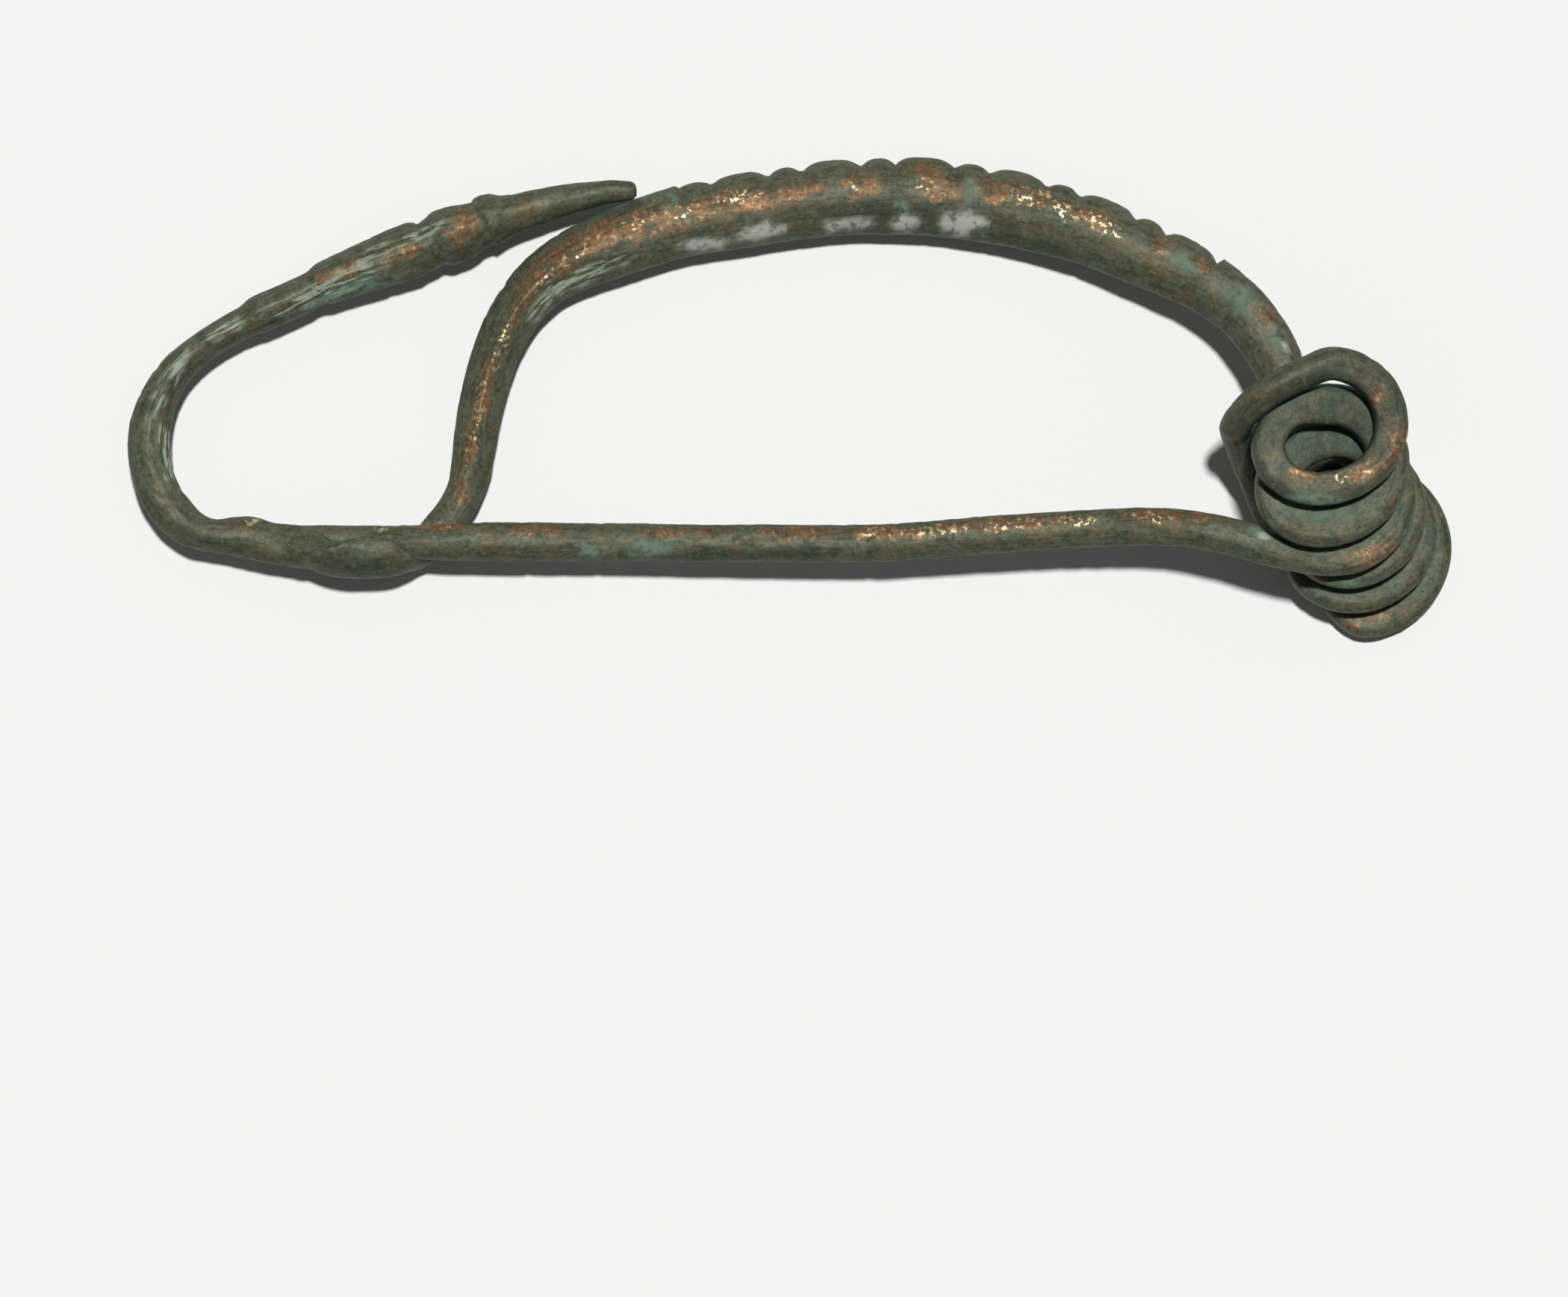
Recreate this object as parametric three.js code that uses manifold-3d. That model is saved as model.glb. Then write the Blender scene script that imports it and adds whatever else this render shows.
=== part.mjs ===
// A bronze safety-pin brooch drawn out of one rod: a foot turned back onto the bow, a folded catch, a ribbed bow,
// a spring of six coils with its chord, and the pin. Millimetres, +Z up. The brooch lies on its side at rest,
// as it was found: +X runs from the catch to the spring, +Y from the pin to the crest of the bow.
import * as THREE from "three";
import { ConvexHull } from "three/addons/math/ConvexHull.js";
import Module from "manifold-3d";

// Overall form. The routes and profiles of the foot and bow are shares of the length.
const LENGTH = 55.3; // from the foot's loop to the last coil
const BOW_DEPTH = 3.36; // from the inside of the bow to the crest of its back
const BOW_BREADTH = 2.6; // across the bow, at its crest
const FOOT_DEPTH = 2.5; // thickest place of the foot, at the bead

// The bow's cross mouldings, a wide one and a narrow one by turns
const RIB_PAIRS = 6;
const WIDE_RIB = 2.36;
const NARROW_RIB = 1.38;
const RIB_RELIEF = 0.34;

// The spring
const COILS_PER_SIDE = 3;
const COIL_RADIUS = 2.6; // of the wire's centre line
const WIRE_DEPTH = 1.42; // the wire measured along a coil's radius
const WIRE_BREADTH = 1.2; // the wire measured along the spring's axis
const COIL_GAP = 0.1;
const COIL_SLANT = 0.06; // rise of each coil toward the chord
const CHORD_GAP = 0.12; // between the chord and the coils that it passes

// The pin and the catch that holds it
const PIN_DEPTH = 1.62;
const PIN_BREADTH = 1.3;
const PIN_TIP = 0.34; // the pin's thickness at its blunt end
const CATCH_WALL = 0.52;
const CATCH_CLEARANCE = 0.2; // between the pin's end and the catch around it
const PIN_CLEARANCE = 0.14; // between the pin and the root of the bow behind it
const SEATED = 0.7; // breadth of the pin inside the catch, as a share of the pin's
const ROD_HALF = 0.36; // half the rod's depth where it is beaten out into the catch, as a share of the foot's
const FRONT_WALL = 0.87; // reach of the catch's wall toward the viewer, as a share of the other's

// The faint flats that wear left where the brooch lies on the ground
const FLAT = 0.05;

const UNIT = LENGTH / 100;

// Mesh of the solid: points round the section, and the spacing of its rings
const SIDES = 14;
const COIL_RINGS = 24; // in one turn
const STEP_STRIDE = UNIT; // at the foot's turned steps
const ROD_STRIDE = 1.45 * UNIT;
const PLATE_STRIDE = 1.1 * UNIT;
const BOW_STRIDE = 1.6 * UNIT;
const CHORD_STRIDE = 1.36 * UNIT;
const PIN_STRIDE = 2.7 * UNIT;
const NEAR_RING = 0.22 * UNIT; // no two rings lie closer

const WALL_RISE = 1.9 * UNIT; // the straight part of the catch's walls, above the fold
const PITCH = WIRE_BREADTH + COIL_GAP;
const COILS = 2 * COILS_PER_SIDE;

// One station of the rod: its centre, the half depth in the plane of the brooch, the half breadth toward the
// viewer and away from them, how far it is curled into a gutter (0 to 1), and the spacing of the mesh there.
const station = (x, y, z, depth, front, back, curl, stride) => ({
  centre: new THREE.Vector3(x, y, z),
  section: [depth, front, back, curl, stride],
});

// The foot, from its free end to the loop. Each row holds x, y and height, then depth and breadth as shares of
// the foot's own depth. The origin of the route is the middle of the spring.
const FOOT = [
  [-53.15, 23.5, 3.3, 0.2, 0.2],
  [-53.4, 23.48, 3.28, 0.3, 0.29],
  [-54.1, 23.45, 3.2, 0.36, 0.36],
  [-55.2, 23.4, 3.08, 0.4, 0.4],
  [-56.8, 23.12, 2.92, 0.47, 0.47],
  [-58.4, 22.82, 2.73, 0.53, 0.52],
  [-60.4, 22.32, 2.55, 0.61, 0.59],
  [-62.7, 21.66, 2.4, 0.72, 0.69],
  [-64.3, 21.25, 2.3, 0.92, 0.86],
  [-64.8, 21.0, 2.3, 0.8, 0.76],
  [-65.2, 20.85, 2.28, 0.83, 0.8],
  [-66.3, 20.4, 2.25, 0.97, 0.9],
  [-67.6, 19.95, 2.22, 0.99, 0.92],
  [-68.4, 19.6, 2.2, 0.86, 0.82],
  [-69.0, 19.3, 2.2, 0.86, 0.82],
  [-69.9, 19.05, 2.2, 0.98, 0.9],
  [-72.0, 18.3, 2.15, 0.92, 0.87],
  [-74.2, 17.45, 2.1, 0.84, 0.81],
  [-76.6, 16.5, 2.0, 0.76, 0.75],
  [-77.3, 16.15, 1.95, 0.65, 0.67],
  [-79.0, 15.3, 1.9, 0.66, 0.68],
  [-81.4, 14.25, 1.8, 0.66, 0.68],
  [-82.5, 13.65, 1.75, 0.55, 0.58],
  [-84.3, 12.7, 1.7, 0.53, 0.57],
  [-86.2, 11.4, 1.65, 0.54, 0.58],
  [-87.8, 9.9, 1.65, 0.59, 0.6],
  [-88.9, 8.1, 1.68, 0.65, 0.63],
  [-89.6, 5.9, 1.7, 0.72, 0.66],
  [-89.7, 3.6, 1.72, 0.75, 0.68],
  [-89.2, 1.4, 1.75, 0.73, 0.68],
  [-88.1, -0.5, 1.75, 0.72, 0.66],
  [-86.5, -1.95, 1.78, 0.64, 0.64],
  [-84.9, -2.45, 1.82, 0.57, 0.62],
  [-83.3, -2.5, 1.88, 0.68, 0.62],
  [-82.2, -2.6, 1.95, 0.74, 0.62],
];
const TURNED = 23; // the first rows, from the foot's end to the last turned step

// The catch: the rod beaten flat and folded round the pin. Rows hold x, y and height of the fold's lowest line,
// then the depth as a share from the rod's (1) to the plate's (0), the two walls' heights and the curl.
const CATCH = [
  [-80.6, -3.0, 2.0, 0.98, 0.3, 0.32, 0.05],
  [-79.2, -3.2, 2.08, 1.02, 0.36, 0.46, 0.2],
  [-78.5, -3.42, 2.14, 1.06, 0.45, 0.78, 0.38],
  [-77.8, -3.9, 2.2, 0.72, 0.55, 1.1, 0.55],
  [-76.4, -4.6, 2.32, 0.4, 0.72, 1.03, 0.8],
  [-75.0, -5.2, 2.4, 0.12, 0.86, 1.07, 0.95],
  [-73.6, -5.42, 2.44, 0.02, 0.98, 1.07, 1.0],
  [-72.4, -5.42, 2.44, 0.0, 1.04, 1.06, 1.0],
  [-71.5, -5.25, 2.38, 0.02, 0.96, 1.05, 0.98],
  [-70.8, -4.8, 2.15, 0.06, 0.62, 0.94, 0.76],
  [-70.1, -4.4, 1.75, 0.18, 0.34, 0.64, 0.4],
];
const SEAT_ROW = 6; // the row where the pin's end lies

// The bow, from its root by the catch to where it runs into the spring: x, y and height, then depth and breadth
// as shares of the bow's.
const BOW = [
  [-69.3, -3.55, 1.15, 0.42, 0.36],
  [-68.2, -2.2, 0.98, 0.46, 0.35],
  [-67.0, -0.8, 1.0, 0.48, 0.37],
  [-66.1, 0.8, 1.12, 0.48, 0.41],
  [-65.6, 2.4, 1.28, 0.52, 0.46],
  [-65.2, 5.2, 1.5, 0.56, 0.54],
  [-64.5, 8.8, 1.7, 0.58, 0.63],
  [-63.4, 12.0, 1.88, 0.61, 0.71],
  [-61.9, 14.8, 2.05, 0.66, 0.78],
  [-59.8, 17.0, 2.15, 0.73, 0.83],
  [-57.3, 18.5, 2.22, 0.82, 0.88],
  [-54.3, 19.7, 2.28, 0.88, 0.91],
  [-50.2, 21.1, 2.33, 0.92, 0.94],
  [-45.3, 22.0, 2.38, 0.95, 0.97],
  [-38.4, 23.0, 2.42, 0.97, 0.99],
  [-32.3, 23.15, 2.6, 1.0, 1.0],
  [-26.2, 22.4, 3.05, 0.98, 0.97],
  [-19.4, 20.6, 3.8, 0.91, 0.92],
  [-13.1, 17.8, 4.75, 0.83, 0.85],
  [-10.2, 16.25, 5.3, 0.76, 0.8],
  [-7.9, 14.4, 5.85, 0.72, 0.76],
  [-6.2, 12.2, 6.35, 0.69, 0.7],
  [-5.0, 9.9, 6.8, 0.65, 0.63],
  [-4.0, 8.0, 7.05, 0.58, 0.56],
];
const ROOT = 4; // the first rows, where the bow grows out of the catch
const NECK = 19; // the row where the ribs end and the smooth neck begins

// Each half of the spring starts at the top of a coil and turns clockwise, away from the viewer.
const NEAR_TOP = (COILS - 0.5) * PITCH + WIRE_BREADTH * 0.62; // height of the nearest coil's top
// The stack of coils leans and no two coils are wound alike: each coil's centre, nearest first, measured from the
// spring's middle, and its radius, all in coil radii. The last one has sprung open.
const WINDING = new THREE.CatmullRomCurve3(
  [
    [-0.4, 1.14, 0.945],
    [-0.38, 0.54, 1.0],
    [-0.2, 0.07, 0.985],
    [0.07, -0.17, 0.93],
    [0.23, -0.47, 1.0],
    [0.36, -0.72, 1.15],
  ].map((row) => new THREE.Vector3(...row)),
);

// A point of the spring after so many turns from the top of the nearest coil.
function coil(turns) {
  const angle = Math.PI / 2 - 2 * Math.PI * turns;
  // A coil keeps its centre over its first half and shifts to the next one's on the side of the catch.
  const nth = Math.floor(turns) + THREE.MathUtils.smoothstep(turns % 1, 0.4, 1);
  const share = THREE.MathUtils.clamp(nth / (COILS - 1), 0, 1);
  const winding = WINDING.getPoint(share).multiplyScalar(COIL_RADIUS);
  return station(
    winding.x + winding.z * Math.cos(angle),
    winding.y + winding.z * Math.sin(angle),
    NEAR_TOP - PITCH * turns - COIL_SLANT * winding.z * Math.cos(angle),
    WIRE_DEPTH / 2,
    WIRE_BREADTH / 2,
    WIRE_BREADTH / 2,
    0,
    (2 * Math.PI * COIL_RADIUS) / COIL_RINGS,
  );
}
function coils(from, to) {
  const steps = Math.round(((to - from) * COIL_RINGS) / 2);
  return Array.from({ length: steps + 1 }, (_, i) => coil(from + ((to - from) * i) / steps));
}

// The chord joins the far end of the spring to the near end, outside the coils on the side of the catch: x and y
// as shares of its reach from the spring's middle, height as a share of the stack, from the far end.
const REACH = COIL_RADIUS + WIRE_DEPTH + CHORD_GAP;
const CHORD = [
  [-0.04, -0.99, 0.0],
  [-0.2, -0.83, 0.004],
  [-0.36, -0.64, 0.01],
  [-0.5, -0.49, 0.02],
  [-0.64, -0.3, 0.06],
  [-0.77, -0.05, 0.13],
  [-0.88, 0.18, 0.23],
  [-1.0, 0.4, 0.35],
  [-1.09, 0.58, 0.49],
  [-1.155, 0.69, 0.63],
  [-1.16, 0.73, 0.76],
  [-1.1, 0.83, 0.88],
  [-0.955, 0.97, 0.975],
  [-0.74, 1.11, 1.01],
  [-0.48, 1.235, 1.01],
];

// The pin's line from the last near coil to its end in the catch: x and y as shares of the length, how far it has
// come down to the place where it passes in front of the bow's root, and its thickness. From that place on, the
// third value says how far it has come down to the catch.
const PIN = [
  [-5.0, -3.75, 0.02, 0.94],
  [-9.3, -2.6, 0.09, 0.98],
  [-13.0, -2.0, 0.2, 1.0],
  [-16.8, -1.95, 0.31, 1.0],
  [-25.4, -2.4, 0.48, 1.0],
  [-34.5, -3.05, 0.63, 1.0],
  [-44.0, -3.1, 0.77, 1.0],
  [-53.5, -3.0, 0.89, 1.0],
  [-62.0, -2.95, 0.97, 1.06],
];
const PIN_END = [
  [-66.5, -2.95, 0.0, 1.0],
  [-69.3, -2.95, 0.2, 0.9],
  [-71.6, -2.97, 0.75, 0.72],
  [-73.9, -3.0, 1.0, 0.5],
  [-75.2, -3.02, 1.0, 0.25],
];

// Each half of the catch is this wide inside, and its walls reach this far round the fold.
const SEAT = (PIN_BREADTH * SEATED) / 2 + CATCH_CLEARANCE;
const FOLD_RADIUS = SEAT + CATCH_WALL / 2;
const WALL_REACH = (Math.PI / 2) * FOLD_RADIUS + WALL_RISE;

const rod = FOOT.map(([x, y, z, depth, breadth], i) =>
  station(
    x * UNIT,
    y * UNIT,
    z * UNIT,
    (depth * FOOT_DEPTH) / 2,
    (breadth * FOOT_DEPTH) / 2,
    (breadth * FOOT_DEPTH) / 2,
    0,
    i < TURNED ? STEP_STRIDE : ROD_STRIDE,
  ),
);
const plate = CATCH.map(([x, y, z, thick, front, back, curl]) =>
  station(
    x * UNIT,
    y * UNIT,
    z * UNIT,
    THREE.MathUtils.lerp(CATCH_WALL / 2, ROD_HALF * FOOT_DEPTH, thick),
    front * WALL_REACH * FRONT_WALL,
    back * WALL_REACH,
    curl,
    PLATE_STRIDE,
  ),
);
const bow = BOW.map(([x, y, z, depth, breadth], i) =>
  station(
    x * UNIT,
    y * UNIT,
    z * UNIT,
    (depth * BOW_DEPTH) / 2,
    (breadth * BOW_BREADTH) / 2,
    (breadth * BOW_BREADTH) / 2,
    0,
    i < ROOT ? PLATE_STRIDE : BOW_STRIDE,
  ),
);
const farCoils = coils(COILS_PER_SIDE, COILS - 0.5);
const nearCoils = coils(0, COILS_PER_SIDE - 0.5);
const farEnd = farCoils.at(-1).centre;
const nearEnd = nearCoils[0].centre;
const chord = CHORD.map(([x, y, rise]) =>
  station(
    x * REACH,
    y * REACH,
    THREE.MathUtils.lerp(farEnd.z, nearEnd.z, rise),
    WIRE_DEPTH / 2 - 0.04,
    WIRE_BREADTH / 2,
    WIRE_BREADTH / 2,
    0,
    CHORD_STRIDE,
  ),
);
const pinStart = nearCoils.at(-1).centre.z;
const seatHeight = CATCH[SEAT_ROW][2] * UNIT;
const rootTop = BOW[1][2] * UNIT + (BOW[1][4] * BOW_BREADTH) / 2;
const crossing = rootTop + PIN_CLEARANCE + PIN_BREADTH * 0.49;
const pinStation = (from, to) => ([x, y, fall, thick]) =>
  station(
    x * UNIT,
    y * UNIT,
    THREE.MathUtils.lerp(from, to, fall),
    THREE.MathUtils.lerp(PIN_TIP, PIN_DEPTH, thick) / 2,
    THREE.MathUtils.lerp(PIN_TIP, PIN_BREADTH, thick) / 2,
    THREE.MathUtils.lerp(PIN_TIP, PIN_BREADTH, thick) / 2,
    0,
    PIN_STRIDE,
  );
const pin = [
  ...PIN.map(pinStation(pinStart, crossing)),
  ...PIN_END.map(pinStation(crossing, seatHeight)),
];
const route = [rod, plate, bow, farCoils, chord, nearCoils, pin].flat();

// The centre line runs smoothly through the stations.
const line = new THREE.CatmullRomCurve3(
  route.map((s) => s.centre),
  false,
  "centripetal",
);
const FINE = 12; // samples from one station to the next
const samples = line.getPoints((route.length - 1) * FINE);
const run = [0];
for (let i = 1; i < samples.length; i++)
  run.push(run[i - 1] + samples[i].distanceTo(samples[i - 1]));
const at = route.map((_, i) => run[i * FINE]);

// Which span of a rising list a distance falls in.
function spanOf(list, s) {
  let [low, high] = [0, list.length - 2];
  while (low < high) {
    const middle = Math.ceil((low + high) / 2);
    if (list[middle] <= s) low = middle;
    else high = middle - 1;
  }
  return low;
}

// A value given at each station, read between them by a cubic that never overshoots.
function between(values) {
  const slope = values.slice(1).map((v, i) => (v - values[i]) / (at[i + 1] - at[i]));
  const lean = values.map((_, i) => {
    const [a, b] = [slope[i - 1], slope[i]];
    return a === undefined || b === undefined || a * b <= 0 ? 0 : (2 * a * b) / (a + b);
  });
  return (s) => {
    const i = spanOf(at, s);
    const h = at[i + 1] - at[i];
    const t = THREE.MathUtils.clamp((s - at[i]) / h, 0, 1);
    return (
      values[i] * (1 + 2 * t) * (1 - t) ** 2 +
      values[i + 1] * t * t * (3 - 2 * t) +
      h * t * (1 - t) * (lean[i] * (1 - t) - lean[i + 1] * t)
    );
  };
}
const [depthAt, frontAt, backAt, curlAt, strideAt] = [0, 1, 2, 3, 4].map((k) =>
  between(route.map((s) => s.section[k])),
);

// The point of the centre line at a distance from the foot's end.
function pointAt(s) {
  const i = spanOf(run, s);
  return samples[i].clone().lerp(samples[i + 1], (s - run[i]) / (run[i + 1] - run[i]));
}

// The mouldings across the bow's back: a band of ribs that ends where the smooth neck begins.
const ribStops = [];
const pairLength = WIDE_RIB + NARROW_RIB;
const ribsEnd = at[rod.length + plate.length + NECK] - 0.35 * UNIT;
const ribsStart = ribsEnd - RIB_PAIRS * pairLength;
for (let pair = 0; pair < RIB_PAIRS; pair++) {
  const start = ribsStart + pair * pairLength;
  for (const t of [0, 0.2, 0.5, 0.8]) ribStops.push(start + t * NARROW_RIB);
  for (const t of [0, 0.1, 0.28, 0.5, 0.72, 0.9]) ribStops.push(start + NARROW_RIB + t * WIDE_RIB);
}
ribStops.push(ribsEnd);
function relief(s) {
  if (s <= ribsStart || s >= ribsEnd) return 0;
  const within = (s - ribsStart) % pairLength;
  const wide = within > NARROW_RIB;
  const t = wide ? (within - NARROW_RIB) / WIDE_RIB : within / NARROW_RIB;
  const valley = Math.abs(2 * t - 1) ** (wide ? 3.2 : 2.2);
  const fade = Math.min(1, (s - ribsStart) / pairLength + 0.45);
  return RIB_RELIEF * fade * (wide ? valley : 0.15 + 0.85 * valley);
}

// Where the mesh has its rings: at the foot's turned steps, at each rib, and by the stride elsewhere.
const fixed = [...at.slice(0, rod.length), ...ribStops].sort((a, b) => a - b);
const rings = [];
for (let s = 0, k = 0; s < run.at(-1); ) {
  rings.push(s);
  while (k < fixed.length && fixed[k] <= s + NEAR_RING) k++;
  const next = s + strideAt(s);
  s = k < fixed.length && fixed[k] < next + 2 * NEAR_RING ? fixed[k] : next;
}
if (run.at(-1) - rings.at(-1) < 4 * NEAR_RING) rings.pop();
rings.push(run.at(-1));

// Frames along the line: each follows from the one before without twisting, then is turned so that its breadth
// stands square to the plane of the brooch. The chord, where the line runs up through that direction, only shares
// out the turn between its two ends.
const centres = rings.map(pointAt);
const tangents = rings.map((s) =>
  pointAt(Math.min(s + 0.05, run.at(-1))).sub(pointAt(Math.max(s - 0.05, 0))).normalize(),
);
const up = new THREE.Vector3(0, 0, 1);
const normals = [up.clone().addScaledVector(tangents[0], -up.dot(tangents[0])).normalize()];
for (let i = 1; i < rings.length; i++) {
  const turn = new THREE.Quaternion().setFromUnitVectors(tangents[i - 1], tangents[i]);
  normals.push(normals[i - 1].clone().applyQuaternion(turn));
}
const chordStart = at[rod.length + plate.length + bow.length + farCoils.length];
const chordEnd = at[rod.length + plate.length + bow.length + farCoils.length + chord.length];
const inChord = (s) => s > chordStart && s < chordEnd;
const twist = [];
for (let i = 0; i < rings.length; i++) {
  if (inChord(rings[i])) {
    twist.push(null);
    continue;
  }
  const square = up.clone().addScaledVector(tangents[i], -up.dot(tangents[i])).normalize();
  let angle = Math.atan2(
    new THREE.Vector3().crossVectors(normals[i], square).dot(tangents[i]),
    normals[i].dot(square),
  );
  const last = twist.findLast((t) => t !== null) ?? 0;
  angle += 2 * Math.PI * Math.round((last - angle) / (2 * Math.PI));
  twist.push(angle);
}
for (let i = 0; i < rings.length; i++) {
  if (twist[i] !== null) continue;
  let j = i;
  while (twist[j] === null) j++;
  twist[i] = twist[i - 1] + (twist[j] - twist[i - 1]) / (j - i + 1);
}

// The rod's section: an oval, or a strip curled round the fold of the catch with straight walls.
function section(s) {
  const [depth, front, back, curl, groove] = [depthAt(s), frontAt(s), backAt(s), curlAt(s), relief(s)];
  return Array.from({ length: SIDES }, (_, k) => {
    const phi = (2 * Math.PI * k) / SIDES;
    return sectionPoint(Math.cos(phi), Math.sin(phi), depth, front, back, curl, groove);
  });
}
function sectionPoint(c, v, depth, front, back, curl, groove) {
  const flat = THREE.MathUtils.lerp(1, 0.55, Math.min(1, curl * 1.5));
  let half = depth * Math.sign(v) * Math.abs(v) ** flat;
  if (v > 0) half -= groove * Math.min(1, v * 1.4);
  const u = (c > 0 ? front : back) * c;
  if (curl < 0.01) return [half, u];
  const radius = FOLD_RADIUS / curl;
  const bent = THREE.MathUtils.clamp(u / radius, -Math.PI / 2, Math.PI / 2);
  const straight = Math.abs(u) - Math.abs(bent) * radius;
  return [
    radius - (radius - half) * Math.cos(bent) + straight * Math.abs(Math.sin(bent)),
    (radius - half) * Math.sin(bent) + Math.sign(u) * straight * Math.cos(bent),
  ];
}

const vertices = [];
rings.forEach((s, i) => {
  const normal = normals[i].clone().applyAxisAngle(tangents[i], twist[i]);
  const side = new THREE.Vector3().crossVectors(normal, tangents[i]);
  for (const [a, b] of section(s)) {
    vertices.push(centres[i].clone().addScaledVector(side, a).addScaledVector(normal, b));
  }
});
const faces = [];
for (let i = 0; i + 1 < rings.length; i++)
  for (let k = 0; k < SIDES; k++) {
    const [a, b] = [i * SIDES + k, i * SIDES + ((k + 1) % SIDES)];
    faces.push(a, a + SIDES, b, b, a + SIDES, b + SIDES);
  }
// Both ends are rounded off by one last point.
const ends = [
  centres[0].clone().addScaledVector(tangents[0], -0.06),
  centres.at(-1).clone().addScaledVector(tangents.at(-1), 0.06),
];
vertices.push(...ends);
const last = (rings.length - 1) * SIDES;
for (let k = 0; k < SIDES; k++) {
  const next = (k + 1) % SIDES;
  faces.push(k, next, vertices.length - 2);
  faces.push(last + next, last + k, vertices.length - 1);
}

// The brooch lies down on its side: on the face of its hull that carries its weight.
function centreOfMass() {
  const sum = new THREE.Vector3();
  let volume = 0;
  for (let i = 0; i < faces.length; i += 3) {
    const [a, b, c] = [0, 1, 2].map((k) => vertices[faces[i + k]]);
    const v = a.dot(new THREE.Vector3().crossVectors(b, c)) / 6;
    volume += v;
    sum.addScaledVector(a.clone().add(b).add(c), v / 4);
  }
  return sum.divideScalar(volume);
}
const weight = centreOfMass();
const hull = new ConvexHull().setFromPoints(vertices).faces;
// The face of the hull straight under the weight when a direction points down.
function faceUnder(down) {
  const reach = (face) => face.midpoint.clone().sub(weight).dot(face.normal) / face.normal.dot(down);
  return hull
    .filter((face) => face.normal.dot(down) > 0)
    .reduce((nearest, face) => (reach(face) < reach(nearest) ? face : nearest));
}
// It rolls from face to face until its weight comes down within the face that it lies on.
let lying = faceUnder(new THREE.Vector3(0, 0, -1));
while (faceUnder(lying.normal) !== lying) lying = faceUnder(lying.normal);
const laid = new THREE.Quaternion().setFromUnitVectors(lying.normal, new THREE.Vector3(0, 0, -1));
for (const v of vertices) v.applyQuaternion(laid);

// The touching places are worn flat, and the origin goes to the middle of the ground that the brooch covers.
const wasm = await Module();
wasm.setup();
const ground = Math.min(...vertices.map((v) => v.z)) + FLAT;
const solid = new wasm.Manifold(
  new wasm.Mesh({
    numProp: 3,
    vertProperties: new Float32Array(vertices.flatMap((v) => v.toArray())),
    triVerts: new Uint32Array(faces),
  }),
).trimByPlane([0, 0, 1], ground);
const made = solid.getMesh();
const geometry = new THREE.BufferGeometry();
geometry.setAttribute("position", new THREE.BufferAttribute(new Float32Array(made.vertProperties), 3));
geometry.setIndex(new THREE.BufferAttribute(new Uint32Array(made.triVerts), 1));
geometry.computeBoundingBox();
const box = geometry.boundingBox;
geometry.translate(-(box.min.x + box.max.x) / 2, -(box.min.y + box.max.y) / 2, -box.min.z);
geometry.computeVertexNormals();

const brooch = new THREE.Mesh(
  geometry,
  new THREE.MeshStandardMaterial({ color: 0x5d5a45, roughness: 0.62, metalness: 0.55 }),
);
brooch.name = "fibula";

const part = new THREE.Group();
part.add(brooch);
export default part;
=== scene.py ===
import math

import bpy
import numpy as np
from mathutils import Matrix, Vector, noise
from mathutils.bvhtree import BVHTree


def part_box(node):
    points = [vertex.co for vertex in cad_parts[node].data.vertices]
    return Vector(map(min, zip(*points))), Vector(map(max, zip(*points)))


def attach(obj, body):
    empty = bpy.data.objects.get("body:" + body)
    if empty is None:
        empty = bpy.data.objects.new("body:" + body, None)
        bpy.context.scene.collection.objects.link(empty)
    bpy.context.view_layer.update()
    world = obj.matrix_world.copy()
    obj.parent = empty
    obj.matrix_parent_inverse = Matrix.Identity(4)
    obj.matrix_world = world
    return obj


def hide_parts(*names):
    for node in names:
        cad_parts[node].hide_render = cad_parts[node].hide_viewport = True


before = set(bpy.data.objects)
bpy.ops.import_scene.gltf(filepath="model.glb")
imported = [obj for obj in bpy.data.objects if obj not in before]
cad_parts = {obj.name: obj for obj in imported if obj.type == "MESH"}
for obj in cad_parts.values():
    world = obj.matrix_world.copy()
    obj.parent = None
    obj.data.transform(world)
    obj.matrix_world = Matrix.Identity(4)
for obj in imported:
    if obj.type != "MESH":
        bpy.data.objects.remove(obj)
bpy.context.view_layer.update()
MM = 0.001
node_low, node_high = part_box("fibula")

# The view: a camera on a stand, looking straight down on the table.
CAMERA_HEIGHT = 300 * MM
SENSOR = 36.0
VIEW_WIDTH = 65.56 * MM  # of the table, from edge to edge of the photograph
VIEW_CENTRE = (-0.27 * MM, -10.45 * MM)
camera_data = bpy.data.cameras.new("camera")
camera_data.sensor_width = SENSOR
camera_data.lens = SENSOR * CAMERA_HEIGHT / VIEW_WIDTH
camera_data.clip_start = 0.01
camera = bpy.data.objects.new("camera", camera_data)
camera.location = (*VIEW_CENTRE, CAMERA_HEIGHT)
bpy.context.scene.collection.objects.link(camera)
bpy.context.scene.camera = camera

# The brooch: one bronze rod, cast with a thick ribbed bow, then hammered and bent into its foot, its
# catch, the six coils of its spring and the pin. It follows the route of the solid that it replaces, but
# its coils touch, its rod stays thick further into the catch, and the pin's end goes further along it.
LENGTH = 55.3
UNIT = LENGTH / 100
BOW_DEPTH = 3.36
BOW_BREADTH = 2.6
FOOT_DEPTH = 2.5
COILS_PER_SIDE = 3
COILS = 2 * COILS_PER_SIDE
COIL_RADIUS = 2.6
WIRE_DEPTH = 1.42
WIRE_BREADTH = 1.2
PITCH = WIRE_BREADTH + 0.1
COIL_SLANT = 0.06
REACH = COIL_RADIUS + WIRE_DEPTH + 0.12
PIN_DEPTH = 1.62
PIN_BREADTH = 1.3
PIN_TIP = 0.34
CATCH_WALL = 0.52
ROD_HALF = 0.36  # of the foot's depth, where the catch leaves the rod
FOLD_RADIUS = PIN_BREADTH * 0.7 / 2 + 0.2 + CATCH_WALL / 2
WALL_REACH = math.pi / 2 * FOLD_RADIUS + 1.9 * UNIT
FRONT_WALL = 0.87

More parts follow.
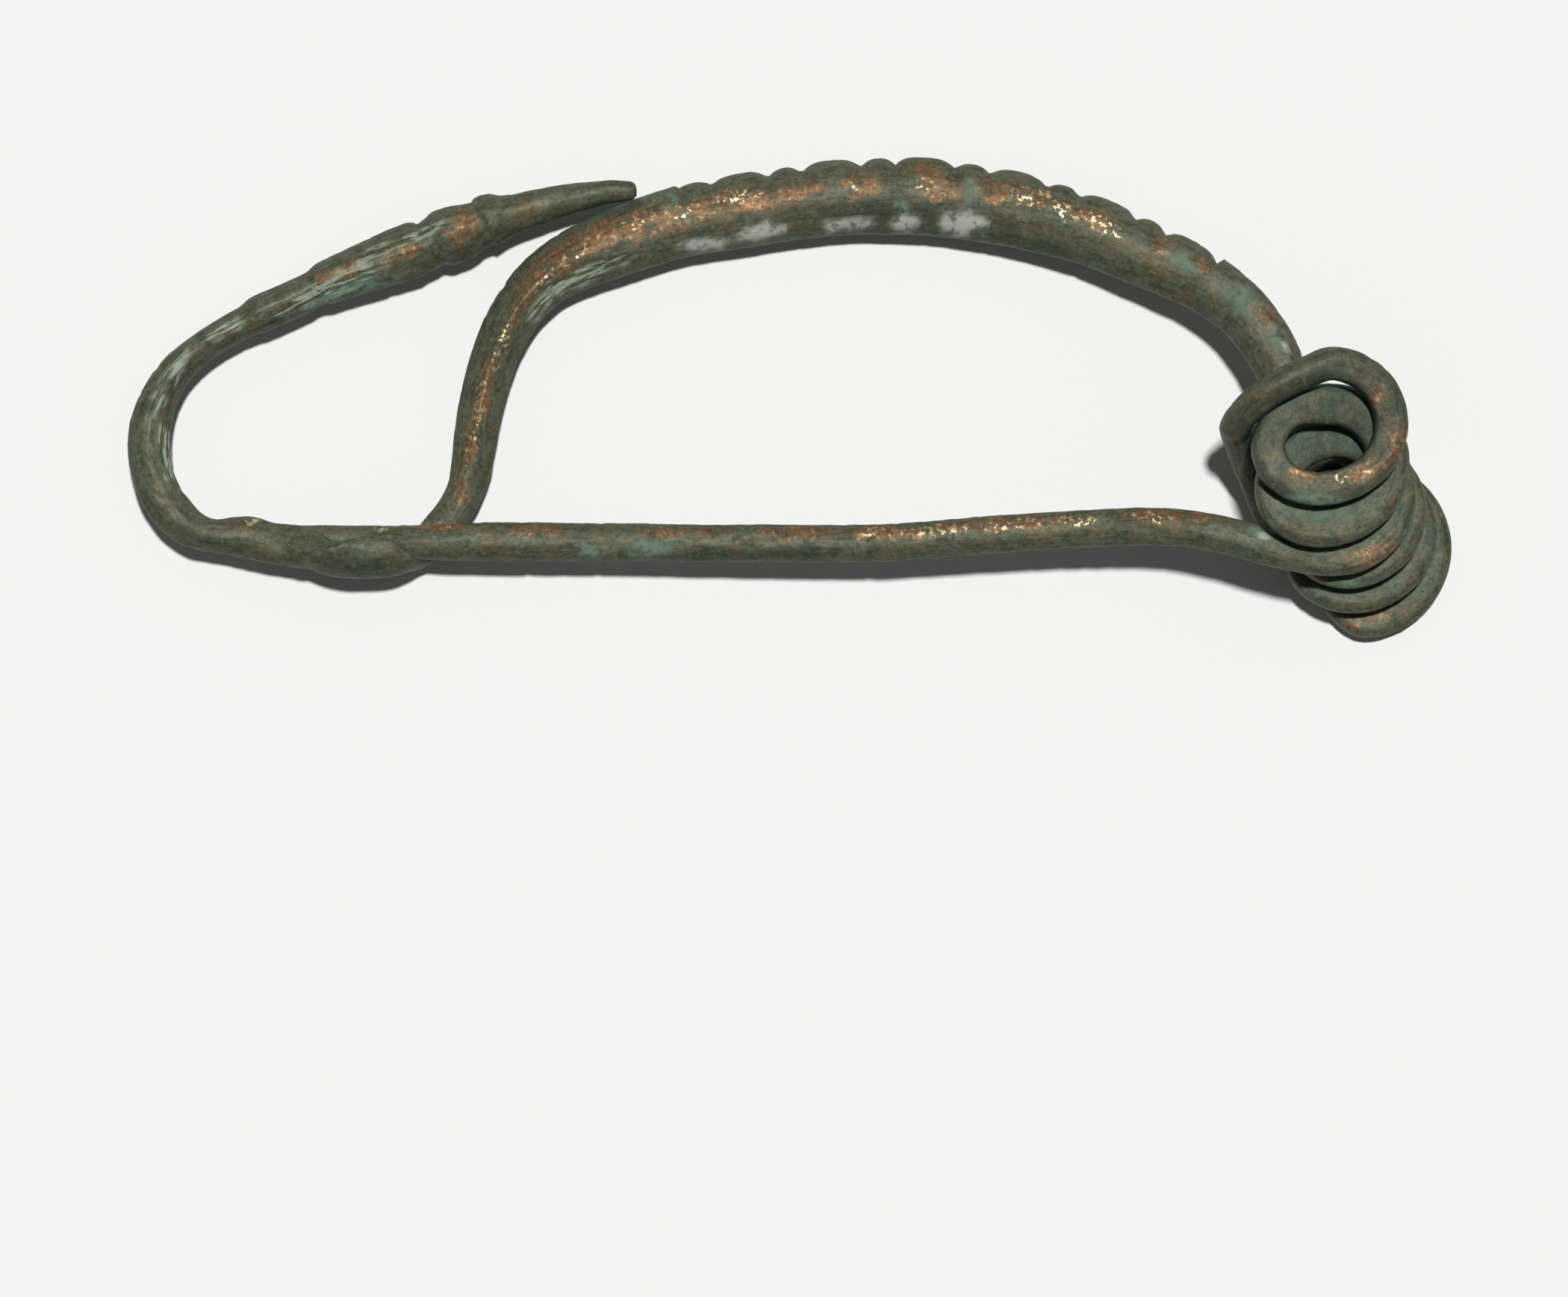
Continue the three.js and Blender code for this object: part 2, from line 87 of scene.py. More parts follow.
# Rows of the foot and the bow hold x, y, height, and the depth and breadth as shares of the piece's own.
FOOT = [
    (-53.15, 23.5, 3.3, 0.2, 0.2),
    (-53.4, 23.48, 3.28, 0.3, 0.29),
    (-54.1, 23.45, 3.2, 0.36, 0.36),
    (-55.2, 23.4, 3.08, 0.4, 0.4),
    (-56.8, 23.12, 2.92, 0.47, 0.47),
    (-58.4, 22.82, 2.73, 0.53, 0.52),
    (-60.4, 22.32, 2.55, 0.61, 0.59),
    (-62.7, 21.66, 2.4, 0.72, 0.69),
    (-64.3, 21.25, 2.3, 0.92, 0.86),
    (-64.8, 21.0, 2.3, 0.8, 0.76),
    (-65.2, 20.85, 2.28, 0.83, 0.8),
    (-66.3, 20.4, 2.25, 0.97, 0.9),
    (-67.6, 19.95, 2.22, 0.99, 0.92),
    (-68.4, 19.6, 2.2, 0.86, 0.82),
    (-69.0, 19.3, 2.2, 0.86, 0.82),
    (-69.9, 19.05, 2.2, 0.98, 0.9),
    (-72.0, 18.3, 2.15, 0.92, 0.87),
    (-74.2, 17.45, 2.1, 0.84, 0.81),
    (-76.6, 16.5, 2.0, 0.76, 0.75),
    (-77.3, 16.15, 1.95, 0.65, 0.67),
    (-79.0, 15.3, 1.9, 0.66, 0.68),
    (-81.4, 14.25, 1.8, 0.66, 0.68),
    (-82.5, 13.65, 1.75, 0.55, 0.58),
    (-84.3, 12.7, 1.7, 0.53, 0.57),
    (-86.2, 11.4, 1.65, 0.54, 0.58),
    (-87.8, 9.9, 1.65, 0.59, 0.6),
    (-88.9, 8.1, 1.68, 0.65, 0.63),
    (-89.6, 5.9, 1.7, 0.72, 0.66),
    (-89.7, 3.6, 1.72, 0.75, 0.68),
    (-89.2, 1.4, 1.75, 0.73, 0.68),
    (-88.1, -0.5, 1.75, 0.72, 0.66),
    (-86.5, -1.95, 1.78, 0.64, 0.64),
    (-84.9, -2.45, 1.82, 0.57, 0.62),
    (-83.3, -2.5, 1.88, 0.68, 0.62),
    (-82.2, -2.6, 1.95, 0.74, 0.62),
]
# Rows of the catch hold x, y and height of the fold's lowest line, then the thickness from the plate's (0)
# to the rod's (1), the heights of the front and back wall and the curl.
CATCH = [
    (-80.6, -3.0, 2.0, 0.98, 0.3, 0.32, 0.05),
    (-79.2, -3.18, 2.08, 1.02, 0.36, 0.46, 0.16),
    (-78.4, -3.3, 2.14, 1.04, 0.42, 0.54, 0.26),
    (-77.4, -3.5, 2.2, 0.98, 0.52, 0.64, 0.42),
    (-76.2, -4.3, 2.32, 0.64, 0.7, 0.9, 0.72),
    (-75.0, -4.85, 2.4, 0.34, 0.84, 1.0, 0.92),
    (-73.6, -5.1, 2.44, 0.14, 0.92, 1.0, 0.98),
    (-72.4, -5.15, 2.44, 0.06, 0.94, 1.0, 1.0),
    (-71.5, -5.05, 2.38, 0.04, 0.86, 1.0, 0.98),
    (-70.8, -4.8, 2.15, 0.06, 0.62, 0.94, 0.76),
    (-70.1, -4.4, 1.75, 0.18, 0.34, 0.64, 0.4),
]
SEAT_ROW = 6  # the catch's row where the pin's end lies
BOW = [
    (-69.3, -3.55, 1.15, 0.42, 0.36),
    (-68.2, -2.2, 0.98, 0.46, 0.35),
    (-67.0, -0.8, 1.0, 0.48, 0.37),
    (-66.1, 0.8, 1.12, 0.48, 0.41),
    (-65.6, 2.4, 1.28, 0.52, 0.46),
    (-65.2, 5.2, 1.5, 0.56, 0.54),
    (-64.5, 8.8, 1.7, 0.58, 0.63),
    (-63.4, 12.0, 1.88, 0.61, 0.71),
    (-61.9, 14.8, 2.05, 0.66, 0.78),
    (-59.8, 17.0, 2.15, 0.73, 0.83),
    (-57.3, 18.5, 2.22, 0.82, 0.88),
    (-54.3, 19.7, 2.28, 0.88, 0.91),
    (-50.2, 21.1, 2.33, 0.92, 0.94),
    (-45.3, 22.0, 2.38, 0.95, 0.97),
    (-38.4, 23.0, 2.42, 0.97, 0.99),
    (-32.3, 23.15, 2.6, 1.0, 1.0),
    (-26.2, 22.4, 3.05, 0.98, 0.97),
    (-19.4, 20.6, 3.8, 0.91, 0.92),
    (-13.1, 17.8, 4.75, 0.83, 0.85),
    (-10.2, 16.25, 5.3, 0.76, 0.8),
    (-7.9, 14.4, 5.85, 0.72, 0.76),
    (-6.2, 12.2, 6.35, 0.69, 0.7),
    (-5.0, 9.9, 6.8, 0.65, 0.63),
    (-4.0, 8.0, 7.05, 0.58, 0.56),
]
NECK = 19  # the bow's row where its ribs end
# Each coil's centre, nearest first, and its radius, in coil radii.
WINDING = [
    (-0.4, 1.14, 0.945),
    (-0.38, 0.54, 1.0),
    (-0.2, 0.07, 0.985),
    (0.07, -0.17, 0.93),
    (0.23, -0.47, 1.0),
    (0.36, -0.72, 1.15),
]
# The chord outside the coils: x and y as shares of its reach, and its height from the far end (0) to the
# near (1).
CHORD = [
    (-0.04, -0.99, 0.0),
    (-0.2, -0.83, 0.004),
    (-0.36, -0.64, 0.01),
    (-0.5, -0.49, 0.02),
    (-0.64, -0.3, 0.06),
    (-0.77, -0.05, 0.13),
    (-0.88, 0.18, 0.23),
    (-1.0, 0.4, 0.35),
    (-1.09, 0.58, 0.49),
    (-1.155, 0.69, 0.63),
    (-1.16, 0.73, 0.76),
    (-1.1, 0.83, 0.88),
    (-0.955, 0.97, 0.975),
    (-0.74, 1.11, 1.01),
    (-0.48, 1.235, 1.01),
]
# The pin: x, y, its fall from the spring to the bow's root, and its thickness from the tip's (0) to the
# pin's (1). Its end has its fall from the bow's root to the catch.
PIN = [
    (-5.0, -3.75, 0.02, 0.94),
    (-9.3, -2.6, 0.09, 0.98),
    (-13.0, -2.0, 0.2, 1.0),
    (-16.8, -1.95, 0.31, 1.0),
    (-25.4, -2.4, 0.48, 1.0),
    (-34.5, -3.05, 0.63, 1.0),
    (-44.0, -3.1, 0.77, 1.0),
    (-53.5, -3.0, 0.89, 1.0),
    (-62.0, -2.95, 0.97, 1.06),
]
PIN_END = [
    (-66.5, -2.95, 0.0, 1.0),
    (-69.3, -2.95, 0.2, 0.9),
    (-71.6, -2.95, 0.75, 0.86),
    (-73.9, -2.92, 1.0, 0.84),
    (-76.5, -2.9, 1.0, 0.82),
    (-79.0, -2.85, 1.0, 0.78),
    (-81.0, -2.8, 1.0, 0.4),
]


def mix(a, b, share):
    return a + (b - a) * share


def smooth(low, high, value):
    share = np.clip((value - low) / (high - low), 0, 1)
    return share * share * (3 - 2 * share)


# A smooth curve through points, read at places counted in points.
def curve(points, places):
    points = np.asarray(points, float)
    padded = np.vstack([2 * points[0] - points[1], points, 2 * points[-1] - points[-2]])
    places = np.clip(np.asarray(places, float), 0, len(points) - 1)
    span = np.minimum(places.astype(int), len(points) - 2)
    share = (places - span)[:, None]
    p0, p1, p2, p3 = (padded[span + k] for k in range(4))
    d0, d1, d2 = (np.sqrt(np.linalg.norm(b - a, axis=1))[:, None] for a, b in ((p0, p1), (p1, p2), (p2, p3)))
    leave = ((p1 - p0) / d0 - (p2 - p0) / (d0 + d1) + (p2 - p1) / d1) * d1
    arrive = ((p2 - p1) / d1 - (p3 - p1) / (d1 + d2) + (p3 - p2) / d2) * d1
    square = 2 * (p1 - p2) + leave + arrive
    bend = -3 * (p1 - p2) - 2 * leave - arrive
    return p1 + share * (leave + share * (bend + share * square))


# A station is its centre, half depth, half breadth to the front and back, and its curl.
def rod_station(row, depth, breadth):
    x, y, z, deep, broad = row
    return (x * UNIT, y * UNIT, z * UNIT, deep * depth / 2, broad * breadth / 2, broad * breadth / 2, 0)


def catch_station(row):
    x, y, z, thick, front, back, curl = row
    half = mix(CATCH_WALL / 2, ROD_HALF * FOOT_DEPTH, thick)
    return (x * UNIT, y * UNIT, z * UNIT, half, front * WALL_REACH * FRONT_WALL, back * WALL_REACH, curl)


NEAR_TOP = (COILS - 0.5) * PITCH + WIRE_BREADTH * 0.62  # the height of the chord's near end
STATIONS_PER_TURN = 12
half_wire = WIRE_BREADTH / 2


def coil_station(turns):
    angle = math.pi / 2 - 2 * math.pi * turns
    nth = math.floor(turns) + float(smooth(0.4, 1, turns % 1))
    x, y, radius = curve(WINDING, [nth])[0] * COIL_RADIUS
    height = NEAR_TOP - PITCH * turns - COIL_SLANT * radius * math.cos(angle)
    place = (x + radius * math.cos(angle), y + radius * math.sin(angle), height)
    return (*place, WIRE_DEPTH / 2, half_wire, half_wire, 0)


def coil_stations(start, end):
    steps = round((end - start) * STATIONS_PER_TURN)
    return [coil_station(turns) for turns in np.linspace(start, end, steps + 1)]


def pin_station(row, start, end):
    x, y, fall, thick = row
    half = mix(PIN_TIP, PIN_BREADTH, thick) / 2
    return (x * UNIT, y * UNIT, mix(start, end, fall), mix(PIN_TIP, PIN_DEPTH, thick) / 2, half, half, 0)


foot = [rod_station(row, FOOT_DEPTH, FOOT_DEPTH) for row in FOOT]
catch = [catch_station(row) for row in CATCH]
bow = [rod_station(row, BOW_DEPTH, BOW_BREADTH) for row in BOW]
far_coils = coil_stations(COILS_PER_SIDE, COILS - 0.5)
near_coils = coil_stations(0, COILS_PER_SIDE - 0.5)
far_height = far_coils[-1][2]
near_height = near_coils[0][2]
CHORD_THINNING = 0.04
half_chord = WIRE_DEPTH / 2 - CHORD_THINNING
chord = [
    (x * REACH, y * REACH, mix(far_height, near_height, rise), half_chord, half_wire, half_wire, 0)
    for x, y, rise in CHORD
]
CROSSING_GAP = 0.14  # between the bow's root and the pin that passes over it
crossing = BOW[1][2] * UNIT + BOW[1][4] * BOW_BREADTH / 2 + CROSSING_GAP + PIN_BREADTH * 0.49
pin = [pin_station(row, near_coils[-1][2], crossing) for row in PIN]
pin += [pin_station(row, crossing, CATCH[SEAT_ROW][2] * UNIT) for row in PIN_END]
parts = [foot, catch, bow, far_coils, chord, near_coils, pin]
route = np.array([station for part in parts for station in part])
first = np.cumsum([0] + [len(part) for part in parts])  # of each part's stations

# The centre line, its length so far at each sample, and the distance of each station from the foot's end.
FINE = 24
line = curve(route[:, :3], np.arange((len(route) - 1) * FINE + 1) / FINE)
run = np.concatenate([[0], np.cumsum(np.linalg.norm(np.diff(line, axis=0), axis=1))])
at = run[::FINE]


# A value of the stations, read between them without overshooting.
def between(values, s):
    slope = np.diff(values) / np.diff(at)
    lean = np.zeros(len(values))
    same = slope[1:] * slope[:-1] > 0
    lean[1:-1][same] = (2 * slope[1:] * slope[:-1])[same] / (slope[1:] + slope[:-1])[same]
    span = np.clip(np.searchsorted(at, s, "right") - 1, 0, len(at) - 2)
    h = at[span + 1] - at[span]
    t = np.clip((s - at[span]) / h, 0, 1)
    ends = values[span] * (1 + 2 * t) * (1 - t) ** 2 + values[span + 1] * t * t * (3 - 2 * t)
    return ends + h * t * (1 - t) * (lean[span] * (1 - t) - lean[span + 1] * t)


RINGS = 1690
SIDES = 56
TANGENT_STEP = 0.05
s = np.linspace(0, run[-1], RINGS)
centre = np.stack([np.interp(s, run, line[:, k]) for k in range(3)], 1)
ahead = np.stack([np.interp(np.minimum(s + TANGENT_STEP, run[-1]), run, line[:, k]) for k in range(3)], 1)
behind = np.stack([np.interp(np.maximum(s - TANGENT_STEP, 0), run, line[:, k]) for k in range(3)], 1)
tangent = (ahead - behind) / np.linalg.norm(ahead - behind, axis=1)[:, None]

# The breadth stands square to the plane of the brooch, except in the chord, where the turn between its two
# ends is shared out.
up = np.array([0.0, 0.0, 1.0])


def across(direction, along):
    flat = direction - along * (direction @ along)
    return flat / np.linalg.norm(flat)


normal = np.zeros((RINGS, 3))
normal[0] = across(up, tangent[0])
for i in range(1, RINGS):
    normal[i] = across(normal[i - 1], tangent[i])
square = np.array([across(up, t) for t in tangent])
twist_sin = np.einsum("ij,ij->i", np.cross(normal, square), tangent)
twist_cos = np.einsum("ij,ij->i", normal, square)
twist = np.arctan2(twist_sin, twist_cos)
free = (s > at[first[4]]) & (s < at[first[5]])
twist[~free] = np.unwrap(twist[~free])
twist[free] = np.interp(s[free], s[~free], twist[~free])
turn_cos = np.cos(twist)[:, None]
turn_sin = np.sin(twist)[:, None]
normal = normal * turn_cos + np.cross(tangent, normal) * turn_sin
side = np.cross(normal, tangent)

# The bow's back is cut with cross mouldings, a wide one and a narrow one by turns.
RIB_PAIRS = 6
WIDE_RIB = 2.36
NARROW_RIB = 1.38
RIB_RELIEF = 0.34
RIBS_SHORT_OF_NECK = 0.35  # in hundredths of the length
WIDE_CROWN = 3.2  # the higher, the flatter a rib's back and the steeper its edges
NARROW_CROWN = 2.2
NARROW_SINK = 0.15  # of the relief, by which a narrow rib stands lower
FIRST_RELIEF = 0.45  # of the relief, at the ribs' start
pair_length = WIDE_RIB + NARROW_RIB
leg = first[2]
ribs_end = at[leg + NECK] - RIBS_SHORT_OF_NECK * UNIT
ribs_start = ribs_end - RIB_PAIRS * pair_length
within = np.mod(s - ribs_start, pair_length)
is_wide = within > NARROW_RIB
t = np.where(is_wide, (within - NARROW_RIB) / WIDE_RIB, within / NARROW_RIB)
valley = np.abs(2 * t - 1) ** np.where(is_wide, WIDE_CROWN, NARROW_CROWN)
fade = np.minimum(1, (s - ribs_start) / pair_length + FIRST_RELIEF)
groove = RIB_RELIEF * fade * np.where(is_wide, valley, NARROW_SINK + (1 - NARROW_SINK) * valley)
groove[(s <= ribs_start) | (s >= ribs_end)] = 0

# The face of the foot and of the bow's outer leg is hammered to a low keel, which rises and fades between
# rows of theirs.
FOOT_KEEL = 0.2
LEG_KEEL = 0.6
keel = FOOT_KEEL * smooth(at[7], at[13], s) * (1 - smooth(at[27], at[30], s))
keel += LEG_KEEL * smooth(at[leg + 2], at[leg + 5], s) * (1 - smooth(at[leg + 9], at[leg + 11], s))

# The coils' wire is beaten broader and squarer than the rest, so that its turns lie on one another, and
# least so on the outer face that shows. Beyond the nearest coil it is also fuller toward the axis.
FACE_SQUARENESS = 0.4
SQUARENESS = 0.7
INNER_SWELL = 0.5


# How much a ring belongs to the stations from start to end.
def stretch(start, end):
    return smooth(at[start] - 1, at[start] + 1, s) * (1 - smooth(at[end] - 1, at[end] + 1, s))


coiled = stretch(first[3], first[4]) + stretch(first[5], first[6])
inner_far = stretch(first[3] + 2, first[4] - 3)
inner_near = stretch(first[5] + STATIONS_PER_TURN - 1, first[6] - 3)
inner = 1 + INNER_SWELL * (inner_far + inner_near)

# The section of the rod at every ring: an oval, or a strip curled round the fold of the catch.
ROUNDNESS = 0.985  # of the section, against the corners of the solid's
CURL_SQUARENESS = 0.45  # of the strip, where it is curled
LEAST_CURL = 0.01
TIP_REACH = 0.06
depth, front, back = (ROUNDNESS * between(route[:, k], s)[:, None] for k in (3, 4, 5))
front = front * mix(1, PITCH / WIRE_BREADTH, coiled)[:, None]
back = back * mix(1, PITCH / WIRE_BREADTH, coiled)[:, None]
curl = between(route[:, 6], s)[:, None]
phi = 2 * math.pi * np.arange(SIDES)[None, :] / SIDES
c = np.cos(phi)
v = np.sin(phi)
boxy = 1 - coiled[:, None] * np.where((c > 0) & (v > 0), FACE_SQUARENESS, SQUARENESS)
flat = mix(1, 1 - CURL_SQUARENESS, np.minimum(1, curl * 1.5)) * boxy
half = depth * np.sign(v) * np.abs(v) ** flat
half = half - groove[:, None] * np.clip(v * 1.4, 0, 1)
level = np.sign(c) * np.abs(c) ** boxy
roof = mix(level, 1 - np.abs(v), keel[:, None])
u = np.where(c > 0, front, back) * np.where(c > 0, roof, level)
radius = FOLD_RADIUS / np.maximum(curl, LEAST_CURL)
bent = np.clip(u / radius, -math.pi / 2, math.pi / 2)
straight = np.abs(u) - np.abs(bent) * radius
is_curled = curl >= LEAST_CURL


# The skin's points from each ring's half depths, and the points of its two ends.
def skin_of(half):
    curled_side = radius - (radius - half) * np.cos(bent) + straight * np.abs(np.sin(bent))
    curled_up = (radius - half) * np.sin(bent) + np.sign(u) * straight * np.cos(bent)
    out_side = np.where(is_curled, curled_side, half)[:, :, None]
    out_up = np.where(is_curled, curled_up, u)[:, :, None]
    skin = centre[:, None, :] + side[:, None, :] * out_side + normal[:, None, :] * out_up
    tips = np.stack([centre[0] - TIP_REACH * tangent[0], centre[-1] + TIP_REACH * tangent[-1]])
    return np.vstack([skin.reshape(-1, 3), tips])


points = skin_of(half)

i, k = np.meshgrid(np.arange(RINGS - 1), np.arange(SIDES), indexing="ij")
a = i * SIDES + k
b = i * SIDES + (k + 1) % SIDES
quads = np.stack([a, a + SIDES, b + SIDES, b], -1).reshape(-1, 4)
k = np.arange(SIDES)
after = (k + 1) % SIDES
last_ring = (RINGS - 1) * SIDES
caps = np.concatenate(
    [
        np.stack([k, after, np.full(SIDES, len(points) - 2)], 1),
        np.stack([last_ring + after, last_ring + k, np.full(SIDES, len(points) - 1)], 1),
    ]
)
triangles = np.concatenate([quads[:, [0, 1, 2]], quads[:, [0, 2, 3]], caps])


def normals_of(points):
    corner = points[triangles]
    face = np.cross(corner[:, 1] - corner[:, 0], corner[:, 2] - corner[:, 0])
    total = np.zeros_like(points)
    for k in range(3):
        np.add.at(total, triangles[:, k], face)
    return total / np.maximum(np.linalg.norm(total, axis=1), 1e-12)[:, None]


# Laid down as the solid lies: the two bodies' middles and main axes are brought together, and then the
# skin is settled onto the solid's corners, before its coils are filled out toward the axis.
SETTLINGS = 60


def middle_and_axes(points, triangles):
    corner = points[triangles]
    volume = np.einsum("ij,ij->i", corner[:, 0], np.cross(corner[:, 1], corner[:, 2])) / 6
    total = corner.sum(1)
    middle = (volume[:, None] * total).sum(0) / 4 / volume.sum()
    spread = np.einsum("i,ij,ik->jk", volume, total, total)
    spread += np.einsum("i,inj,ink->jk", volume, corner, corner)
    spread = spread / 20 / volume.sum() - np.outer(middle, middle)
    return middle, np.linalg.eigh(spread)[1]


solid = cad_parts["fibula"].data
solid.calc_loop_triangles()
solid_points = np.zeros(len(solid.vertices) * 3)
solid.vertices.foreach_get("co", solid_points)
solid_points = solid_points.reshape(-1, 3) / MM
solid_faces = np.zeros(len(solid.loop_triangles) * 3, int)
solid.loop_triangles.foreach_get("vertices", solid_faces)
solid_middle, solid_axes = middle_and_axes(solid_points, solid_faces.reshape(-1, 3))
middle, axes = middle_and_axes(points, triangles)
axes = axes * np.sign(np.einsum("ij,ij->j", axes, solid_axes))
lay = solid_axes @ axes.T
offset = solid_middle - lay @ middle
plain_tree = BVHTree.FromPolygons([tuple(p) for p in points], triangles.tolist())
for _ in range(SETTLINGS):
    seen = (solid_points - offset) @ lay
    nearest = np.array([plain_tree.find_nearest(Vector(p))[0] for p in seen])
    from_middle = nearest.mean(0)
    to_middle = solid_points.mean(0)
    left, _, right = np.linalg.svd((nearest - from_middle).T @ (solid_points - to_middle))
    flip = np.diag([1, 1, np.sign(np.linalg.det(right.T @ left.T))])
    lay = right.T @ flip @ left.T
    offset = to_middle - lay @ from_middle

points = skin_of(np.where(v < 0, half * inner[:, None], half))
outward = normals_of(points)

# Corrosion: a gentle unevenness, shallow pits and thin crusts, larger where the metal is thick.
SWELL = 0.03
RIPPLE = 0.02
PIT_DEPTH = 0.04
CRUMBS = 0.012
METAL_LOST = 0.02
THICK_METAL = 0.9
THIN_METAL_RELIEF = 0.35
LIME_THICKNESS = 0.025
MALACHITE_THICKNESS = 0.01


def noise_at(scale, shift=0.0):
    return np.array([noise.noise(Vector(p) / scale + Vector((shift, 0, 0))) for p in points])


swell = noise_at(1.9)
ripple = noise_at(0.75, 9.0)
pitting = noise_at(0.42, 21.0)
crumb = noise_at(0.24, 33.0)
relief = SWELL * swell + RIPPLE * ripple - PIT_DEPTH * smooth(0.22, 0.55, pitting)
relief = relief + CRUMBS * crumb - METAL_LOST
thick = np.repeat(np.minimum(depth[:, 0], front[:, 0] + back[:, 0]), SIDES)
relief[:-2] *= np.clip(thick / THICK_METAL, THIN_METAL_RELIEF, 1)

# Where the finish, the painted highlight or the painted shade changes on the face that is up: x, y, half the
# length and half the width of a patch, and the angle that it leans to in degrees.
LIME_CRUST = [
    (-47.9, 19.35, 2.0, 0.3, 5),
    (-43.8, 20.25, 1.8, 0.45, 9),
    (-37.4, 20.85, 1.8, 0.35, 4),
    (-32.9, 21.05, 0.9, 0.6, 10),
    (-28.7, 20.9, 1.5, 0.8, -8),
    (-6.5, -2.7, 0.4, 0.12, -20),
    (-4.7, 11.4, 0.4, 0.12, -55),
]
PALE_STREAK = [
    (-69.6, 20.0, 2.3, 0.28, 27),
    (-68.6, 20.6, 1.4, 0.25, 32),
    (-79.4, 14.75, 2.6, 0.35, 17),
    (-84.3, 12.9, 1.9, 0.42, 24),
    (-88.1, 9.2, 3.0, 0.5, 62),
    (-88.4, 3.7, 2.2, 0.4, 98),
    (-72.5, 18.9, 1.5, 0.25, 22),
    (-75.5, 16.3, 3.5, 0.7, 22),
    (-57.3, 17.0, 3.6, 0.6, 24),
    (-60.3, 14.8, 1.4, 0.35, 52),
]
MALACHITE = [
    (-52.3, -3.5, 2.0, 0.5, 0),
    (-56.5, -3.6, 1.2, 0.4, 0),
    (-7.7, 15.0, 1.4, 0.9, -38),
    (-5.6, 12.2, 1.3, 0.7, -55),
    (-27.9, 23.1, 0.5, 0.9, 10),
    (-33.2, 22.0, 0.6, 0.6, 0),
    (-6.8, -2.1, 0.8, 0.6, -20),
    (-12.5, 17.9, 1.2, 0.6, -35),
    (-2.8, -0.4, 3.0, 0.4, -8),
    (-1.6, -1.2, 2.6, 0.3, 5),
    (-0.8, -6.4, 2.0, 0.3, 8),
    (-76.0, 15.2, 2.2, 0.4, 22),
    (-50.6, 22.6, 0.6, 1.0, 60),
    (-74.0, 15.9, 3.5, 0.8, 22),
]
# Dark green tarnish: partly the patina, partly painted shade along the lower sides of the bow, the pin, the
# catch and the loop.
TARNISH_AND_SHADE = [
    (-1.9, 5.4, 6.2, 5.6, 0),
    (-32.0, 22.0, 12.0, 0.8, 0),
    (-25.0, 19.2, 5.5, 0.9, -12),
    (-33.0, 20.2, 5.0, 0.5, 0),
    (-73.5, -5.0, 4.0, 0.7, -8),
    (-85.5, -2.6, 3.0, 0.5, -20),
    (-46.0, -3.9, 8.0, 0.3, 0),
]
BARE_COPPER = [
    (-74.5, 17.5, 1.3, 0.5, 22),
    (-76.3, 16.7, 1.0, 0.5, 22),
    (-66.0, 21.1, 0.8, 0.8, 0),
    (-66.6, 19.7, 0.6, 0.5, 0),
    (-70.6, 18.6, 1.6, 0.5, 22),
    (-60.6, 16.6, 1.8, 0.7, 50),
    (-58.4, 18.6, 2.6, 1.1, 35),
    (-55.9, 19.9, 2.6, 1.3, 20),
    (-52.0, 20.8, 3.4, 1.3, 15),
    (-44.0, 22.4, 2.6, 0.7, 9),
    (-26.5, 23.2, 2.2, 0.7, -8),
    (-47.5, 22.2, 2.6, 0.7, 12),
    (-41.3, 23.3, 2.0, 0.5, 8),
    (-36.2, 23.7, 1.6, 0.9, 0),
    (-31.0, 24.6, 1.6, 0.9, 0),
    (-30.6, 23.2, 2.0, 0.6, -3),
    (-23.5, 22.9, 2.3, 0.7, -12),
    (-19.2, 21.3, 1.7, 0.7, -25),
    (-13.6, 19.1, 1.1, 0.7, -35),
    (-10.8, 17.7, 0.7, 0.4, -35),
    (-6.3, 13.9, 1.3, 0.7, -62),
    (-61.9, 14.6, 0.5, 1.7, -25),
    (-64.4, 8.8, 0.45, 2.6, -10),
    (-65.6, 4.8, 0.5, 2.3, -5),
    (-66.3, 1.2, 0.5, 1.1, 0),
    (1.4, 7.1, 0.6, 0.9, 0),
    (2.9, 3.9, 0.7, 1.4, -15),
    (0.6, 1.9, 1.5, 0.6, 20),
    (1.5, -4.0, 2.2, 0.6, 15),
    (2.0, -8.6, 1.8, 0.4, 20),
    (-4.0, 1.4, 1.2, 0.5, -15),
    (-67.2, -1.7, 3.0, 0.4, 0),
    (-71.9, -1.5, 1.6, 0.35, 0),
    (-61.0, -2.1, 2.5, 0.35, 0),
    (-50.3, -2.3, 2.8, 0.3, 0),
    (-41.0, -2.4, 3.0, 0.4, 0),
    (-34.5, -2.4, 3.4, 0.5, 0),
    (-25.1, -1.6, 6.0, 0.5, 4),
    (-13.4, -1.2, 4.0, 0.45, -3),
]
